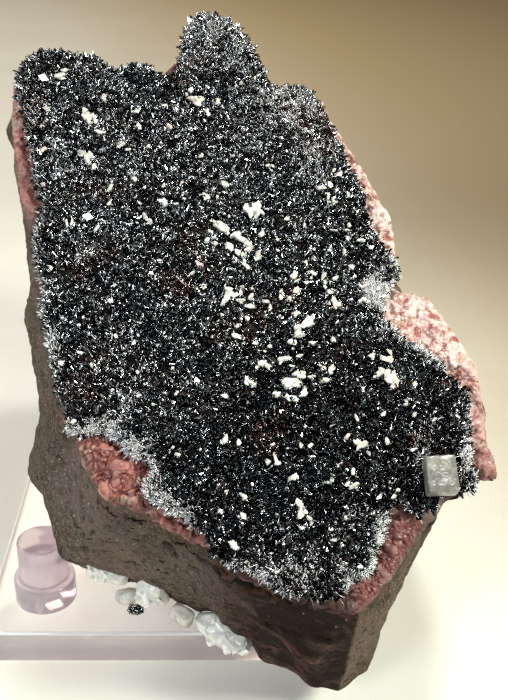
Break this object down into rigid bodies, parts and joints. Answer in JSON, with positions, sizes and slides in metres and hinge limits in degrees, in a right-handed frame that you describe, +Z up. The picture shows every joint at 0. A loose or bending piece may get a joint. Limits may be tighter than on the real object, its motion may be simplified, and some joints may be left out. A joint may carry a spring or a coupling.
{
  "type": "hematite mineral specimen on a stand",
  "caption": "Block of dark rock faced with a red rind and a glittering black hematite crust, sprinkled with white calcite, leaning on a clear pegged stand.",
  "frame": {"origin": "middle of the underside of the stand's plate", "axes": "+Z up; the crystal face looks to -Y and up at 60 degrees; +X to the right as seen from the front"},
  "size_m": [0.0792, 0.1156, 0.0891],
  "materials": {
    "matrix_rock": "rough, split fine-grained rock, dark grey-brown, stained red-brown near its lower rim",
    "red_rind": "dull botryoidal crust of small round lumps, red-brown to salmon pink",
    "hematite": "bright metallic black blades with mirror-like flats",
    "white_calcite": "milky white, softly glossy",
    "clear_calcite": "translucent greyish white, glassy cleavage faces",
    "acrylic": "clear polished acrylic with a faint pink tint at its edges"
  },
  "bodies": {
    "root": {"matrix_rock": "matrix_rock", "red_rind": "red_rind", "hematite_crust": "hematite", "calcite_rhomb": "clear_calcite", "underside_hematite": "hematite", "stand_base": "acrylic", "white_calcite_01": "white_calcite", "white_calcite_02": "white_calcite", "white_calcite_03": "white_calcite", "white_calcite_04": "white_calcite", "white_calcite_05": "white_calcite", "white_calcite_06": "white_calcite", "white_calcite_07": "white_calcite", "white_calcite_08": "white_calcite", "white_calcite_09": "white_calcite", "white_calcite_10": "white_calcite", "white_calcite_11": "white_calcite", "white_calcite_12": "white_calcite", "underside_calcite_vein": "white_calcite", "underside_calcite_block": "white_calcite", "underside_calcite_clear": "clear_calcite", "underside_calcite_long": "white_calcite", "stand_peg_front_left": "acrylic", "stand_peg_front_right": "acrylic", "stand_peg_rear_left": "acrylic", "stand_peg_rear_right": "acrylic"}
  },
  "joints": []
}
